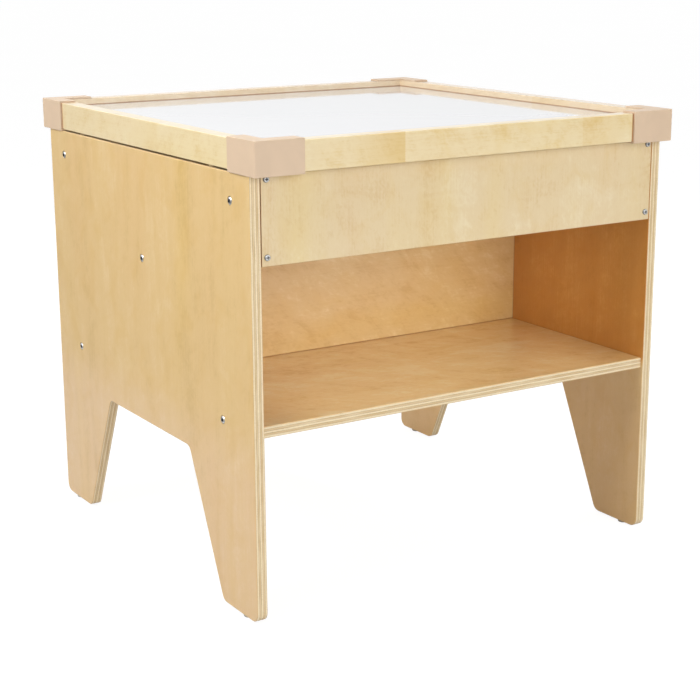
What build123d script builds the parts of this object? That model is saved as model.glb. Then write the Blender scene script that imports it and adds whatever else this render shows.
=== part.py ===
from build123d import *

import os

# A sand and water table: a square plywood cabinet, a lift-out basin inside it, and a framed
# top that lifts off. Millimetres, +Z up, front at -Y, origin on the floor under the centre.

# Cabinet
CABINET_WIDTH = 646.0
CABINET_DEPTH = 612.0
SIDE_HEIGHT = 566.0
PLY = 15.0
EASE = 1.2
SAME_LEVEL = 1.0
GLIDE_HEIGHT = 3.0
GLIDE_RADIUS = 7.0
GLIDE_INSET = 36.0

# Arch between the two legs of a side panel
ARCH_HEIGHT = 188.0
ARCH_TOP_INSET = 179.0
ARCH_FOOT_INSET = 91.0
ARCH_RADIUS = 12.0
FOOT_RADIUS = 13.0

# Boards between the side panels (heights are above the foot of the side panels)
SHELF_TOP = 256.0
SHELF_SETBACK = 4.0
ACCESS_BOTTOM = 456.0
ACCESS_END_GAP = 1.0
CROSS_RAIL_Y = 257.0
CROSS_RAIL_MID = 531.0
CROSS_RAIL_HEIGHT = 58.0
DIVIDER_BOLT = 419.0
DIVIDER_GAP = 1.0
SHELF_BOLT_Y = 225.0
CLEAT = 18.0
CLEAT_HEIGHT = 104.0
CLEAT_DROP = 2.0

# M6 button-head bolts and barrel nuts
BOLT_RADIUS = 3.0
BOLT_LENGTH = 45.0
BOLT_HEAD_RADIUS = 5.25
BOLT_HEAD_HEIGHT = 3.3
BOLT_HEAD_ROUND = 2.6
BOLT_HOLE_RADIUS = 3.3
BOLT_HOLE_DEPTH = 36.0
COUNTERBORE_RADIUS = 5.7
COUNTERBORE_DEPTH = 2.5
HEX_KEY_RADIUS = 2.3
HEX_KEY_DEPTH = 2.0
BARREL_RADIUS = 5.0
BARREL_LENGTH = 12.0
BARREL_INSET = 28.0
BARREL_SLOT_WIDTH = 1.2
BARREL_SLOT_DEPTH = 1.0

# Wood screws and dowels
SNUG = 0.05
SCREW_RADIUS = 2.0
SCREW_HEAD_RADIUS = 4.0
PAN_HEAD_HEIGHT = 2.4
PAN_HEAD_ROUND = 1.6
SCREW_TIP = 5.0
SCREW_TIP_RADIUS = 0.3
RECESS_LENGTH = 4.2
RECESS_WIDTH = 1.0
RECESS_DEPTH = 1.4
ACCESS_SCREW_LENGTH = 28.0
ACCESS_SCREW_X = 300.0
ACCESS_SCREW_FROM_BOTTOM = 11.0
ACCESS_SCREW_FROM_TOP = 5.0
CLEAT_SCREW_LENGTH = 27.0
CLEAT_SCREW_FROM_MID = 22.0
DIVIDER_SCREW_LENGTH = 40.0
DIVIDER_SCREW_X = (-250.0, -90.0, 90.0, 250.0)
CAP_SCREW_LENGTH = 20.0
DOWEL_RADIUS = 4.0
DOWEL_LENGTH = 30.0
DOWEL_IN_PANEL = 9.0
DOWEL_BELOW_BOLT = 18.0

# Framed top
RAIL_WIDTH = 22.0
RAIL_HEIGHT = 38.0
CAP_WALL = 2.5
CAP_LEG = 68.0
CAP_CORNER_RADIUS = 2.0
CAP_EASE = 0.8
CAP_SCREW_FROM_CORNER = 42.0
LID_PANEL_THICKNESS = 6.0
LID_PANEL_RECESS = 9.5
GROOVE_DEPTH = 8.0
PEG_RADIUS = 4.0
PEG_HOLE_RADIUS = 4.3
PEG_IN_RAIL = 15.0
PEG_DROP = 14.5
PEG_HOLE_DEPTH = 14.0
PEG_Y = 200.0

# Basin and drain
BASIN_TOP_WIDTH = 604.0
BASIN_TOP_DEPTH = 492.0
BASIN_DRAFT = 8.0
BASIN_WALL = 3.5
BASIN_FLOOR = 4.0
BASIN_HEIGHT = 102.0
BASIN_CORNER_RADIUS = 42.0
BASIN_BOTTOM_ROUND = 14.0
LIP_WIDTH = 612.0
LIP_DEPTH = 536.0
LIP_THICKNESS = 4.0
LIP_CORNER_RADIUS = 18.0
LIP_EASE = 1.5
DRAIN_Y = -130.0
DRAIN_BORE_RADIUS = 9.0
DRAIN_THREAD_RADIUS = 13.2
DRAIN_HOLE_RADIUS = 13.4
DRAIN_FLANGE_RADIUS = 24.0
DRAIN_FLANGE_THICKNESS = 3.0
SPIGOT_RADIUS = 12.5
SPIGOT_LENGTH = 25.0
GASKET_RADIUS = 21.0
GASKET_THICKNESS = 2.0
NUT_RADIUS = 22.0
NUT_THICKNESS = 9.0
PLUG_RADIUS = 15.0
PLUG_TOP_THICKNESS = 4.0
PLUG_STEM_RADIUS = 8.7
PLUG_STEM_LENGTH = 14.0
PLUG_STEM_CHAMFER = 2.0
GRIP_WIDTH = 16.0
GRIP_THICKNESS = 5.0
GRIP_HEIGHT = 16.0
GRIP_HOLE_RADIUS = 4.0
GRIP_EASE = 1.0

# Places that follow from the sizes above
FOOT_Z = GLIDE_HEIGHT
PANEL_TOP_Z = FOOT_Z + SIDE_HEIGHT
OUTER_X = CABINET_WIDTH / 2
INNER_X = OUTER_X - PLY
EDGE_Y = CABINET_DEPTH / 2
SHELF_TOP_Z = FOOT_Z + SHELF_TOP
SHELF_BOTTOM_Z = SHELF_TOP_Z - PLY
SHELF_MID_Z = SHELF_TOP_Z - PLY / 2
ACCESS_BOTTOM_Z = FOOT_Z + ACCESS_BOTTOM
ACCESS_HEIGHT = PANEL_TOP_Z - ACCESS_BOTTOM_Z
ACCESS_BACK_Y = EDGE_Y - PLY
CROSS_RAIL_MID_Z = FOOT_Z + CROSS_RAIL_MID
CROSS_RAIL_TOP_Z = CROSS_RAIL_MID_Z + CROSS_RAIL_HEIGHT / 2
BASIN_BOTTOM_Z = CROSS_RAIL_TOP_Z - BASIN_HEIGHT
BASIN_FLOOR_Z = BASIN_BOTTOM_Z + BASIN_FLOOR
DIVIDER_TOP_Z = BASIN_BOTTOM_Z - DIVIDER_GAP
DIVIDER_BOLT_Z = FOOT_Z + DIVIDER_BOLT
CLEAT_TOP_Z = PANEL_TOP_Z - CLEAT_DROP
CLEAT_MID_Z = CLEAT_TOP_Z - CLEAT_HEIGHT / 2
CLEAT_FACE_X = INNER_X - CLEAT
CLEAT_MID_Y = ACCESS_BACK_Y - CLEAT / 2
RAIL_OUTER = OUTER_X
RAIL_INNER = RAIL_OUTER - RAIL_WIDTH
RAIL_MID = RAIL_OUTER - RAIL_WIDTH / 2
CAP_OUTER = RAIL_OUTER + CAP_WALL
CAP_BASE_Z = PANEL_TOP_Z
CAP_HEIGHT = RAIL_HEIGHT + 2 * CAP_WALL
RAIL_BASE_Z = CAP_BASE_Z + CAP_WALL
RAIL_TOP_Z = RAIL_BASE_Z + RAIL_HEIGHT
CAP_SCREW = RAIL_OUTER - CAP_SCREW_FROM_CORNER
PLAY_SURFACE_Z = RAIL_TOP_Z - LID_PANEL_RECESS
GROOVE_Z = PLAY_SURFACE_Z - LID_PANEL_THICKNESS
LID_PANEL_SIZE = 2 * (RAIL_INNER + GROOVE_DEPTH)
PEG_X = OUTER_X - PLY / 2
DRAIN_FLANGE_Z = BASIN_FLOOR_Z + DRAIN_FLANGE_THICKNESS
NUT_BASE_Z = BASIN_BOTTOM_Z - GASKET_THICKNESS - NUT_THICKNESS

SIDES = {"left": -1, "right": 1}
ENDS = {"front": -1, "back": 1}
CORNERS = {f"{end}_{side}": (SIDES[side], ENDS[end]) for end in ENDS for side in SIDES}
RAIL_TURNS = {"front": 0, "right": 90, "back": 180, "left": 270}
CORNER_TURNS = {"back_right": 0, "back_left": 90, "front_left": 180, "front_right": 270}
ON_TOP = (Align.CENTER, Align.CENTER, Align.MIN)
HANGING = (Align.CENTER, Align.CENTER, Align.MAX)
SHELF_BOLTS = [(-SHELF_BOLT_Y, SHELF_MID_Z), (SHELF_BOLT_Y, SHELF_MID_Z)]
CROSS_RAIL_BOLTS = [(-CROSS_RAIL_Y, CROSS_RAIL_MID_Z), (CROSS_RAIL_Y, CROSS_RAIL_MID_Z)]
DIVIDER_BOLTS = [(0, DIVIDER_BOLT_Z)]
DOWELS = [(y, z - DOWEL_BELOW_BOLT) for y, z in CROSS_RAIL_BOLTS]


def bolt_seats(points, sides=(-1, 1)):
    """Planes on the side panels' counterbore floors, facing out."""
    seat_x = OUTER_X - COUNTERBORE_DEPTH
    return [Plane(origin=(side * seat_x, y, z), z_dir=(side, 0, 0)) for side in sides for y, z in points]


def board_ends(points, sides=(-1, 1)):
    """Planes on the ends of a board, or on a side panel's inner face, facing the side panel."""
    return [Plane(origin=(side * INNER_X, y, z), z_dir=(side, 0, 0)) for side in sides for y, z in points]


def panel_inner(points, side):
    """Planes on a side panel's inner face, facing into the cabinet."""
    return [Plane(origin=(side * INNER_X, y, z), z_dir=(-side, 0, 0)) for y, z in points]


def access_screw_seats(end, y):
    """Planes for an access panel's four screws, at a distance y from the middle, facing out."""
    heights = (ACCESS_BOTTOM_Z + ACCESS_SCREW_FROM_BOTTOM, PANEL_TOP_Z - ACCESS_SCREW_FROM_TOP)
    points = [(x, z) for x in (-ACCESS_SCREW_X, ACCESS_SCREW_X) for z in heights]
    return [Plane(origin=(x, end * y, z), z_dir=(0, end, 0)) for x, z in points]


def cleat_screw_seats(side, end, x):
    """Planes for a corner cleat's two screws, facing into the cabinet."""
    heights = (CLEAT_MID_Z - CLEAT_SCREW_FROM_MID, CLEAT_MID_Z + CLEAT_SCREW_FROM_MID)
    return [Plane(origin=(side * x, end * CLEAT_MID_Y, z), z_dir=(-side, 0, 0)) for z in heights]


def divider_screw_seats(z):
    """Planes for the screws that come up through the shelf into the divider, facing down."""
    return [Plane(origin=(x, 0, z), z_dir=(0, 0, -1)) for x in DIVIDER_SCREW_X]


def cap_screw_seats(points, turn, z):
    """Planes under the framed top, facing down, for points turned about the table's middle."""
    centres = [Vector(x, y, z).rotate(Axis.Z, turn) for x, y in points]
    return [Plane(origin=centre, z_dir=(0, 0, -1)) for centre in centres]


def drill(planes, radius, depth):
    """Blind holes that start on each plane."""
    with Locations(*planes):
        Hole(radius, depth)


def drill_barrels(planes):
    """Holes for barrel nuts, drilled from a board's face almost to its other face."""
    with Locations(*planes):
        Hole(BARREL_RADIUS + SNUG, (PLY + BARREL_LENGTH) / 2)


def cross_recess(top):
    """A cross recess in the top of a screw's head."""
    with Locations((0, 0, top)):
        Box(RECESS_LENGTH, RECESS_WIDTH, 2 * RECESS_DEPTH, mode=Mode.SUBTRACT)
        Box(RECESS_WIDTH, RECESS_LENGTH, 2 * RECESS_DEPTH, mode=Mode.SUBTRACT)


def screw_shank(length):
    """A plain shank and its point, hanging from Z = 0."""
    Cylinder(SCREW_RADIUS, length - SCREW_TIP, align=HANGING)
    with Locations((0, 0, SCREW_TIP - length)):
        Cone(SCREW_TIP_RADIUS, SCREW_RADIUS, SCREW_TIP, align=HANGING)


def countersunk_screw(length):
    """A wood screw whose flat head is flush at Z = 0."""
    with BuildPart() as screw:
        screw_shank(length)
        Cone(SCREW_RADIUS, SCREW_HEAD_RADIUS, SCREW_HEAD_RADIUS - SCREW_RADIUS, align=HANGING)
        cross_recess(0)
    return screw.part


def pan_head_screw(length):
    """A wood screw whose rounded head sits on Z = 0."""
    with BuildPart() as screw:
        screw_shank(length)
        Cylinder(SCREW_HEAD_RADIUS, PAN_HEAD_HEIGHT, align=ON_TOP)
        fillet(screw.edges().filter_by(GeomType.CIRCLE).sort_by(Axis.Z)[-1], PAN_HEAD_ROUND)
        cross_recess(PAN_HEAD_HEIGHT)
    return screw.part


def machine_bolt():
    """A button-head bolt whose head sits on Z = 0."""
    with BuildPart() as bolt:
        Cylinder(BOLT_RADIUS, BOLT_LENGTH, align=HANGING)
        Cylinder(BOLT_HEAD_RADIUS, BOLT_HEAD_HEIGHT, align=ON_TOP)
        fillet(bolt.edges().filter_by(GeomType.CIRCLE).sort_by(Axis.Z)[-1], BOLT_HEAD_ROUND)
        with BuildSketch(Plane.XY.offset(BOLT_HEAD_HEIGHT)):
            RegularPolygon(HEX_KEY_RADIUS, 6)
        extrude(amount=-HEX_KEY_DEPTH, mode=Mode.SUBTRACT)
    return bolt.part


def barrel_nut():
    """A cross dowel along Z, with its bolt hole along X and a slot in its lower end."""
    with BuildPart() as nut:
        Cylinder(BARREL_RADIUS, BARREL_LENGTH)
        with BuildSketch(Plane.YZ):
            Circle(BOLT_RADIUS + SNUG)
        extrude(amount=BARREL_RADIUS, both=True, mode=Mode.SUBTRACT)
        with Locations((0, 0, -BARREL_LENGTH / 2)):
            Box(2 * BARREL_RADIUS, BARREL_SLOT_WIDTH, 2 * BARREL_SLOT_DEPTH, mode=Mode.SUBTRACT)
    return nut.part


def eased_board(centre, width, depth, height):
    """A square-edged board with its edges eased."""
    with BuildPart() as board:
        with BuildSketch(Plane.XY.offset(centre[2] - height / 2)):
            with Locations(centre[:2]):
                Rectangle(width, depth)
        extrude(amount=height)
        fillet(board.edges().filter_by(Axis.X), EASE)
    return board.part


def side_panel(side):
    """A cabinet end: two tapered legs, an arch between them, and its bolt, peg and screw holes."""
    arch_top_y = EDGE_Y - ARCH_TOP_INSET
    arch_foot_y = EDGE_Y - ARCH_FOOT_INSET
    arch_z = FOOT_Z + ARCH_HEIGHT
    half = [(arch_top_y, arch_z), (arch_foot_y, FOOT_Z), (EDGE_Y, FOOT_Z), (EDGE_Y, PANEL_TOP_Z)]
    outline = half + [(-y, z) for y, z in reversed(half)]
    with BuildPart() as panel:
        with BuildSketch(Plane.YZ.offset(INNER_X if side > 0 else -OUTER_X)) as profile:
            with BuildLine():
                Polyline(*outline, close=True)
            make_face()
            corners = profile.vertices().group_by(Axis.Y)
            fillet(corners[0], FOOT_RADIUS)
            arch_top = (arch_z - SAME_LEVEL, arch_z + SAME_LEVEL)
            fillet(profile.vertices().filter_by_position(Axis.Y, *arch_top), ARCH_RADIUS)
        extrude(amount=PLY)
        faces = panel.faces().filter_by(Axis.X)
        fillet(faces.edges(), EASE)
        with Locations(*bolt_seats(SHELF_BOLTS + CROSS_RAIL_BOLTS + DIVIDER_BOLTS, [side])):
            Hole(BOLT_HOLE_RADIUS)
            Cylinder(COUNTERBORE_RADIUS, 2 * COUNTERBORE_DEPTH, align=ON_TOP, mode=Mode.SUBTRACT)
        drill(panel_inner(DOWELS, side), DOWEL_RADIUS + SNUG, DOWEL_IN_PANEL)
        for end in ENDS.values():
            drill(cleat_screw_seats(side, end, INNER_X), SCREW_RADIUS + SNUG, CLEAT_SCREW_LENGTH - CLEAT)
            drill([Plane((side * PEG_X, end * PEG_Y, PANEL_TOP_Z))], PEG_HOLE_RADIUS, PEG_HOLE_DEPTH)
    return panel.part


pieces = {}

# Cabinet: side panels, shelf, divider, access panels and cross rails

for name, side in SIDES.items():
    pieces[f"{name}_side_panel"] = side_panel(side)

with BuildPart() as shelf:
    add(eased_board((0, 0, SHELF_MID_Z), 2 * INNER_X, CABINET_DEPTH - 2 * SHELF_SETBACK, PLY))
    drill(board_ends(SHELF_BOLTS), BOLT_HOLE_RADIUS, BOLT_HOLE_DEPTH)
    barrel_x = INNER_X - BARREL_INSET
    drill_barrels([
        Plane(origin=(x, y, SHELF_BOTTOM_Z), z_dir=(0, 0, -1))
        for x in (-barrel_x, barrel_x)
        for y, z in SHELF_BOLTS
    ])
    with Locations(*divider_screw_seats(SHELF_BOTTOM_Z)):
        CounterSinkHole(SCREW_RADIUS + SNUG, SCREW_HEAD_RADIUS + SNUG, PLY, counter_sink_angle=90)
pieces["shelf"] = shelf.part

with BuildPart() as center_divider:
    divider_height = DIVIDER_TOP_Z - SHELF_TOP_Z
    add(eased_board((0, 0, SHELF_TOP_Z + divider_height / 2), 2 * INNER_X, PLY, divider_height))
    drill(board_ends(DIVIDER_BOLTS), BOLT_HOLE_RADIUS, BOLT_HOLE_DEPTH)
    drill_barrels([
        Plane(origin=(x, PLY / 2, DIVIDER_BOLT_Z), x_dir=(1, 0, 0), z_dir=(0, 1, 0))
        for x in (-barrel_x, barrel_x)
    ])
    drill(divider_screw_seats(SHELF_TOP_Z), SCREW_RADIUS + SNUG, DIVIDER_SCREW_LENGTH - PLY)
pieces["center_divider"] = center_divider.part

for name, end in ENDS.items():
    with BuildPart() as access_panel:
        middle = (0, end * (EDGE_Y - PLY / 2), PANEL_TOP_Z - ACCESS_HEIGHT / 2)
        add(eased_board(middle, 2 * (INNER_X - ACCESS_END_GAP), PLY, ACCESS_HEIGHT))
        drill(access_screw_seats(end, EDGE_Y), SCREW_RADIUS + SNUG, PLY)
    pieces[f"{name}_access_panel"] = access_panel.part

for name, end in ENDS.items():
    with BuildPart() as cross_rail:
        middle = (0, end * CROSS_RAIL_Y, CROSS_RAIL_MID_Z)
        add(eased_board(middle, 2 * INNER_X, PLY, CROSS_RAIL_HEIGHT))
        drill(board_ends([(end * CROSS_RAIL_Y, CROSS_RAIL_MID_Z)]), BOLT_HOLE_RADIUS, BOLT_HOLE_DEPTH)
        dowel_point = (end * CROSS_RAIL_Y, CROSS_RAIL_MID_Z - DOWEL_BELOW_BOLT)
        drill(board_ends([dowel_point]), DOWEL_RADIUS + SNUG, DOWEL_LENGTH - DOWEL_IN_PANEL)
        inner_y = end * (CROSS_RAIL_Y - PLY / 2)
        drill_barrels([
            Plane(origin=(x, inner_y, CROSS_RAIL_MID_Z), x_dir=(1, 0, 0), z_dir=(0, -end, 0))
            for x in (-barrel_x, barrel_x)
        ])
    pieces[f"{name}_cross_rail"] = cross_rail.part

for name, (side, end) in CORNERS.items():
    with BuildPart() as cleat:
        with BuildSketch(Plane.XY.offset(CLEAT_TOP_Z - CLEAT_HEIGHT)):
            with Locations((side * (INNER_X - CLEAT / 2), end * CLEAT_MID_Y)):
                Rectangle(CLEAT, CLEAT)
        extrude(amount=CLEAT_HEIGHT)
        drill(access_screw_seats(end, ACCESS_BACK_Y), SCREW_RADIUS + SNUG, ACCESS_SCREW_LENGTH - PLY)
        with Locations(*cleat_screw_seats(side, end, CLEAT_FACE_X)):
            CounterSinkHole(SCREW_RADIUS + SNUG, SCREW_HEAD_RADIUS + SNUG, CLEAT, counter_sink_angle=90)
    pieces[f"corner_cleat_{name}"] = cleat.part

for name, (side, end) in CORNERS.items():
    with BuildPart() as glide:
        with Locations((side * (OUTER_X - PLY / 2), end * (EDGE_Y - GLIDE_INSET), 0)):
            Cylinder(GLIDE_RADIUS, GLIDE_HEIGHT, align=ON_TOP)
        fillet(glide.edges().group_by(Axis.Z)[0], GLIDE_HEIGHT / 2)
    pieces[f"foot_glide_{name}"] = glide.part

# Fasteners of the cabinet

bolt = machine_bolt()
for name, points in {"shelf": SHELF_BOLTS, "cross_rail": CROSS_RAIL_BOLTS, "divider": DIVIDER_BOLTS}.items():
    with BuildPart() as bolts:
        with Locations(*bolt_seats(points)):
            add(bolt)
    pieces[f"{name}_bolts"] = bolts.part

nut = barrel_nut()
NUT_PLANES = {
    "shelf": [(y, z, (0, 0, 1)) for y, z in SHELF_BOLTS],
    "cross_rail": [(y, z, (0, y, 0)) for y, z in CROSS_RAIL_BOLTS],
    "divider": [(y, z, (0, -1, 0)) for y, z in DIVIDER_BOLTS],
}
for name, places in NUT_PLANES.items():
    with BuildPart() as barrel_nuts:
        with Locations(*[
            Plane(origin=(x, y, z), x_dir=(1, 0, 0), z_dir=facing)
            for x in (-barrel_x, barrel_x)
            for y, z, facing in places
        ]):
            add(nut)
    pieces[f"{name}_barrel_nuts"] = barrel_nuts.part

with BuildPart() as cross_rail_dowels:
    for plane in board_ends(DOWELS):
        with BuildSketch(plane.offset(DOWEL_IN_PANEL)):
            Circle(DOWEL_RADIUS)
    extrude(amount=-DOWEL_LENGTH)
pieces["cross_rail_dowels"] = cross_rail_dowels.part

with BuildPart() as divider_screws:
    with Locations(*divider_screw_seats(SHELF_BOTTOM_Z)):
        add(countersunk_screw(DIVIDER_SCREW_LENGTH))
pieces["divider_screws"] = divider_screws.part

with BuildPart() as cleat_screws:
    for side, end in CORNERS.values():
        with Locations(*cleat_screw_seats(side, end, CLEAT_FACE_X)):
            add(countersunk_screw(CLEAT_SCREW_LENGTH))
pieces["cleat_screws"] = cleat_screws.part

for name, end in ENDS.items():
    with BuildPart() as panel_screws:
        with Locations(*access_screw_seats(end, EDGE_Y)):
            add(pan_head_screw(ACCESS_SCREW_LENGTH))
    pieces[f"{name}_panel_screws"] = panel_screws.part

# Framed top: mitred rails, white panel, corner caps, pegs and screws

for name, turn in RAIL_TURNS.items():
    with BuildPart() as lid_rail:
        with BuildSketch(Plane.XY.offset(RAIL_BASE_Z).rotated((0, 0, turn))):
            with BuildLine():
                Polyline(
                    (-RAIL_OUTER, -RAIL_OUTER),
                    (RAIL_OUTER, -RAIL_OUTER),
                    (RAIL_INNER, -RAIL_INNER),
                    (-RAIL_INNER, -RAIL_INNER),
                    close=True,
                )
            make_face()
        extrude(amount=RAIL_HEIGHT)
        for face in (lid_rail.faces().sort_by(Axis.Z)[0], lid_rail.faces().sort_by(Axis.Z)[-1]):
            fillet(face.edges().sort_by(SortBy.LENGTH)[-2:], EASE)
        with BuildSketch(Plane.XY.offset(GROOVE_Z)):
            Rectangle(LID_PANEL_SIZE, LID_PANEL_SIZE)
        extrude(amount=LID_PANEL_THICKNESS, mode=Mode.SUBTRACT)
        screw_points = [(-CAP_SCREW, -RAIL_MID), (CAP_SCREW, -RAIL_MID)]
        pilot_depth = CAP_SCREW_LENGTH - CAP_WALL
        drill(cap_screw_seats(screw_points, turn, RAIL_BASE_Z), SCREW_RADIUS + SNUG, pilot_depth)
        if name in SIDES:
            pegs = [(SIDES[name] * PEG_X, end * PEG_Y, RAIL_BASE_Z) for end in ENDS.values()]
            drill([Plane(origin=peg, z_dir=(0, 0, -1)) for peg in pegs], PEG_RADIUS + SNUG, PEG_IN_RAIL)
    pieces[f"{name}_lid_rail"] = lid_rail.part

with BuildPart() as lid_panel:
    with BuildSketch(Plane.XY.offset(GROOVE_Z)):
        Rectangle(LID_PANEL_SIZE, LID_PANEL_SIZE)
    extrude(amount=LID_PANEL_THICKNESS)
pieces["lid_panel"] = lid_panel.part

for name, turn in CORNER_TURNS.items():
    with BuildPart() as corner_cap:
        with BuildSketch(Plane.XY.offset(CAP_BASE_Z).rotated((0, 0, turn))):
            with BuildLine():
                Polyline(
                    (CAP_OUTER, CAP_OUTER),
                    (CAP_OUTER - CAP_LEG, CAP_OUTER),
                    (CAP_OUTER - CAP_LEG, RAIL_INNER),
                    (RAIL_INNER, RAIL_INNER),
                    (RAIL_INNER, CAP_OUTER - CAP_LEG),
                    (CAP_OUTER, CAP_OUTER - CAP_LEG),
                    close=True,
                )
            make_face()
        extrude(amount=CAP_HEIGHT)
        corner_edge = corner_cap.edges().filter_by(Axis.Z).sort_by_distance((0, 0, CAP_BASE_Z))[-1]
        fillet(corner_edge, CAP_CORNER_RADIUS)
        fillet(corner_cap.edges().group_by(Axis.Z)[-1], CAP_EASE)
        fillet(corner_cap.edges().group_by(Axis.Z)[0], CAP_EASE)
        with BuildSketch(Plane.XY.offset(RAIL_BASE_Z)):
            Rectangle(2 * RAIL_OUTER, 2 * RAIL_OUTER)
        extrude(amount=RAIL_HEIGHT, mode=Mode.SUBTRACT)
        screw_points = [(CAP_SCREW, RAIL_MID), (RAIL_MID, CAP_SCREW)]
        with Locations(*cap_screw_seats(screw_points, turn, CAP_BASE_Z)):
            CounterSinkHole(
                SCREW_RADIUS + SNUG, SCREW_HEAD_RADIUS + SNUG, CAP_WALL, counter_sink_angle=90
            )
    pieces[f"corner_cap_{name}"] = corner_cap.part

with BuildPart() as corner_cap_screws:
    for turn in CORNER_TURNS.values():
        screw_points = [(CAP_SCREW, RAIL_MID), (RAIL_MID, CAP_SCREW)]
        with Locations(*cap_screw_seats(screw_points, turn, CAP_BASE_Z)):
            add(countersunk_screw(CAP_SCREW_LENGTH))
pieces["corner_cap_screws"] = corner_cap_screws.part

with BuildPart() as lid_pegs:
    with Locations(*[(side * PEG_X, end * PEG_Y, RAIL_BASE_Z - PEG_DROP) for side, end in CORNERS.values()]):
        Cylinder(PEG_RADIUS, PEG_DROP + PEG_IN_RAIL, align=ON_TOP)
    fillet(lid_pegs.edges().group_by(Axis.Z)[0], EASE)
pieces["lid_pegs"] = lid_pegs.part

# Basin with its drain

with BuildPart() as basin:
    for inset, base_z in ((0, BASIN_BOTTOM_Z), (BASIN_WALL, BASIN_FLOOR_Z)):
        top_size = (BASIN_TOP_WIDTH - 2 * inset, BASIN_TOP_DEPTH - 2 * inset)
        bottom_size = [side - 2 * BASIN_DRAFT for side in top_size]
        with BuildSketch(Plane.XY.offset(base_z)):
            RectangleRounded(*bottom_size, BASIN_CORNER_RADIUS - inset)
        with BuildSketch(Plane.XY.offset(CROSS_RAIL_TOP_Z)):
            RectangleRounded(*top_size, BASIN_CORNER_RADIUS - inset)
        loft(mode=Mode.SUBTRACT if inset else Mode.ADD)
        base_level = (base_z - SAME_LEVEL, base_z + SAME_LEVEL)
        base = basin.faces().filter_by(Axis.Z).filter_by_position(Axis.Z, *base_level)
        fillet(base.edges(), BASIN_BOTTOM_ROUND - inset)
    with BuildSketch(Plane.XY.offset(CROSS_RAIL_TOP_Z)):
        RectangleRounded(LIP_WIDTH, LIP_DEPTH, LIP_CORNER_RADIUS)
        RectangleRounded(*top_size, BASIN_CORNER_RADIUS - BASIN_WALL, mode=Mode.SUBTRACT)
    extrude(amount=LIP_THICKNESS)
    fillet(basin.edges().group_by(Axis.Z)[-1], LIP_EASE)
    with Locations((0, DRAIN_Y, BASIN_FLOOR_Z)):
        Hole(DRAIN_HOLE_RADIUS, BASIN_FLOOR)
pieces["basin"] = basin.part

with BuildPart() as drain_fitting:
    with Locations((0, DRAIN_Y, DRAIN_FLANGE_Z)):
        Cylinder(DRAIN_FLANGE_RADIUS, DRAIN_FLANGE_THICKNESS, align=HANGING)
        Cylinder(DRAIN_THREAD_RADIUS, DRAIN_FLANGE_Z - NUT_BASE_Z, align=HANGING)
    with Locations((0, DRAIN_Y, NUT_BASE_Z)):
        Cylinder(SPIGOT_RADIUS, SPIGOT_LENGTH, align=HANGING)
    with Locations((0, DRAIN_Y, DRAIN_FLANGE_Z)):
        Hole(DRAIN_BORE_RADIUS)
pieces["drain_fitting"] = drain_fitting.part

with BuildPart() as drain_gasket:
    with Locations((0, DRAIN_Y, BASIN_BOTTOM_Z)):
        Cylinder(GASKET_RADIUS, GASKET_THICKNESS, align=HANGING)
        Hole(DRAIN_THREAD_RADIUS + SNUG, GASKET_THICKNESS)
pieces["drain_gasket"] = drain_gasket.part

with BuildPart() as drain_nut:
    with BuildSketch(Plane.XY.offset(NUT_BASE_Z)):
        with Locations((0, DRAIN_Y)):
            RegularPolygon(NUT_RADIUS, 6)
            Circle(DRAIN_THREAD_RADIUS + SNUG, mode=Mode.SUBTRACT)
    extrude(amount=NUT_THICKNESS)
pieces["drain_nut"] = drain_nut.part

with BuildPart() as drain_plug:
    with Locations((0, DRAIN_Y, DRAIN_FLANGE_Z)):
        Cylinder(PLUG_RADIUS, PLUG_TOP_THICKNESS, align=ON_TOP)
        Cylinder(PLUG_STEM_RADIUS, PLUG_STEM_LENGTH, align=HANGING)
    chamfer(drain_plug.edges().group_by(Axis.Z)[0], PLUG_STEM_CHAMFER)
    fillet(drain_plug.edges().group_by(Axis.Z)[-1], GRIP_EASE)
    grip_base_z = DRAIN_FLANGE_Z + PLUG_TOP_THICKNESS
    with BuildSketch(Plane.XZ.offset(-DRAIN_Y)):
        with Locations((0, grip_base_z)):
            Rectangle(GRIP_WIDTH, GRIP_HEIGHT - GRIP_WIDTH / 2, align=(Align.CENTER, Align.MIN))
        with Locations((0, grip_base_z + GRIP_HEIGHT - GRIP_WIDTH / 2)):
            Circle(GRIP_WIDTH / 2)
            Circle(GRIP_HOLE_RADIUS, mode=Mode.SUBTRACT)
    extrude(amount=GRIP_THICKNESS / 2, both=True)
pieces["drain_plug"] = drain_plug.part

# One STEP file for each piece

os.makedirs("parts", exist_ok=True)
for node_name, piece in pieces.items():
    piece.label = node_name
    export_step(piece, f"parts/{node_name}.step")
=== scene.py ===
import math

import bpy
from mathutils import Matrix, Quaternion, Vector


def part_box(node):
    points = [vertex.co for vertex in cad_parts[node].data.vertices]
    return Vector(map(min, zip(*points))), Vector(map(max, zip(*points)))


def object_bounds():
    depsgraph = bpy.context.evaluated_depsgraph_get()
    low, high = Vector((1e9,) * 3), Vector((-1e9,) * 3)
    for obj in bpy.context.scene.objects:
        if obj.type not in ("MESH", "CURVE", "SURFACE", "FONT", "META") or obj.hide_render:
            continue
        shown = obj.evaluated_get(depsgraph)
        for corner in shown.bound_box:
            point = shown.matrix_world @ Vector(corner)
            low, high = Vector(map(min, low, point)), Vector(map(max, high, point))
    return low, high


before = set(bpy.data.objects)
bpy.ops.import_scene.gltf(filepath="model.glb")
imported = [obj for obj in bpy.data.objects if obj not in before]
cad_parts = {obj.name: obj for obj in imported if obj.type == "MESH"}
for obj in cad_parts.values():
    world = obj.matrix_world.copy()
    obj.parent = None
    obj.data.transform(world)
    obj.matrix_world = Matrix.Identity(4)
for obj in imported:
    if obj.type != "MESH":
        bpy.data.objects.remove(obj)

# Looks of a birch-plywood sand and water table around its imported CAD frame. Metres, +Z up.

cad_low, cad_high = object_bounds()
table_middle = (cad_low + cad_high) / 2

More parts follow.
